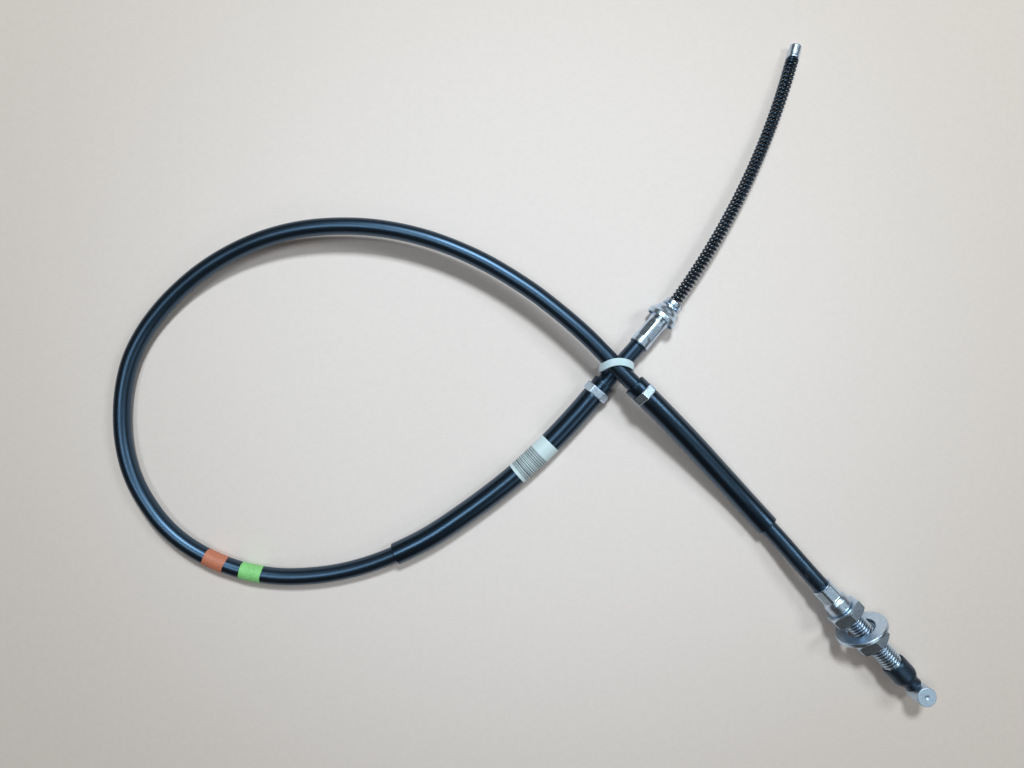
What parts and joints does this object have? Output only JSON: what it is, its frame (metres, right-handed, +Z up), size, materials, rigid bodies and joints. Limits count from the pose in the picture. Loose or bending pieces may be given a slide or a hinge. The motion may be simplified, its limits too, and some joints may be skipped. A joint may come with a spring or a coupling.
{
  "type": "parking brake cable",
  "caption": "sheathed parking brake cable lying in a loop, with a threaded adjuster and barrel end for the lever and a sprung button end for the wheel brake",
  "frame": {"origin": "middle of the whole object's box, on the surface that it lies on", "axes": "+X along the longer side of the loop towards the lever end, +Y across it towards the wheel end's button, +Z up from the surface"},
  "size_m": [0.4782, 0.3826, 0.03],
  "materials": {
    "zinc": "bright zinc plating, semi-gloss",
    "steel": "drawn wire, oiled",
    "jacket": "glossy extruded polymer",
    "hose": "satin rubber",
    "boot": "matt moulded rubber",
    "spring": "black coated spring steel",
    "nylon": "smooth",
    "tie": "pale translucent nylon",
    "label": "coated film",
    "orange_tape": "satin",
    "green_tape": "satin"
  },
  "bodies": {
    "casing": {"conduit_jacket": "jacket", "conduit_armour": "steel", "conduit_liner": "nylon", "inner_wire": "steel", "wheel_hose": "hose", "wheel_hose_ring": "zinc", "lever_hose": "hose", "lever_hose_ring": "zinc", "hose_label": "label", "green_band": "green_tape", "orange_band": "orange_tape", "crossing_tie": "tie", "backplate_fitting": "zinc", "fitting_clip": "zinc", "return_spring": "spring", "adjuster": "zinc", "lever_boot": "boot"},
    "lever_end": {"lever_wire": "steel", "barrel_end": "zinc"},
    "wheel_end": {"wheel_wire": "steel", "wheel_button": "zinc"},
    "lock_nut_inner": {"inner_nut": "zinc"},
    "lock_nut_outer": {"outer_nut": "zinc"},
    "washer": {"plain_washer": "zinc"}
  },
  "joints": [
    {"name": "wire_pull", "type": "slide", "parent": "casing", "child": "lever_end", "axis": [0.6833, -0.7302, 0], "range_m": [0, 0.025], "stiffness_N_per_m": 580, "springref_m": -0.01},
    {"name": "wire_draw", "type": "hinge", "parent": "casing", "child": "wheel_end", "pos_m": [-0.26895, 0.30198, -0.06579], "axis": [0.1349, -0.098, -0.986], "range_deg": [0, 3.19], "deforming": ["return_spring"]},
    {"name": "inner_nut_travel", "type": "slide", "parent": "casing", "child": "lock_nut_inner", "axis": [0.6833, -0.7302, 0], "range_m": [0, 0.0025]},
    {"name": "outer_nut_travel", "type": "slide", "parent": "casing", "child": "lock_nut_outer", "axis": [0.6833, -0.7302, 0], "range_m": [0, 0.013]},
    {"name": "washer_slide", "type": "slide", "parent": "lock_nut_outer", "child": "washer", "axis": [0.6833, -0.7302, 0], "range_m": [-0.0026, 0]}
  ],
  "couplings": [
    {"joint": "wire_draw", "follows": "wire_pull", "rad_per_m": 2.2222}
  ]
}
